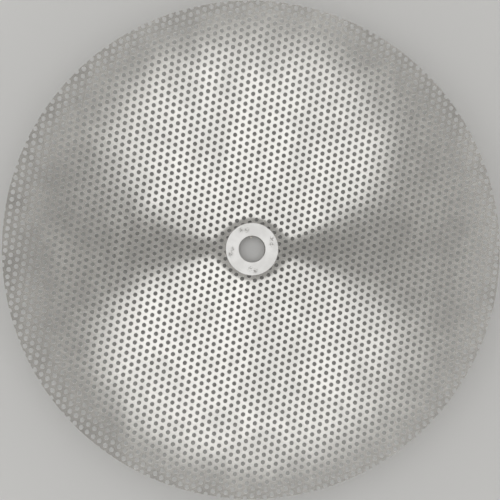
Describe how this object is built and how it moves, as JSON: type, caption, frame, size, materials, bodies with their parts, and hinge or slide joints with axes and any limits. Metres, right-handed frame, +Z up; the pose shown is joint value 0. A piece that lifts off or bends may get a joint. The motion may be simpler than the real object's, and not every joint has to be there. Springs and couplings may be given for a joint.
{
  "type": "dished strainer screen",
  "caption": "Round shallow dish of perforated stainless steel sheet with a plain cut rim and a flat washer on each side of its open centre bore.",
  "frame": {"origin": "centre of the lower washer's bottom face, on the bore's axis, where the part stands", "axes": "+Z up along the bore's axis, out of the open side of the dish; X and Y lie in the plane of the rim"},
  "size_m": [0.3048, 0.3048, 0.0276],
  "materials": {
    "stainless_sheet": "satin",
    "stainless_washer": "tumbled",
    "weld_metal": "as welded"
  },
  "bodies": {
    "root": {"screen": "stainless_sheet", "upper_washer": "stainless_washer", "lower_washer": "stainless_washer", "bore_tack_weld": "weld_metal"}
  },
  "joints": []
}
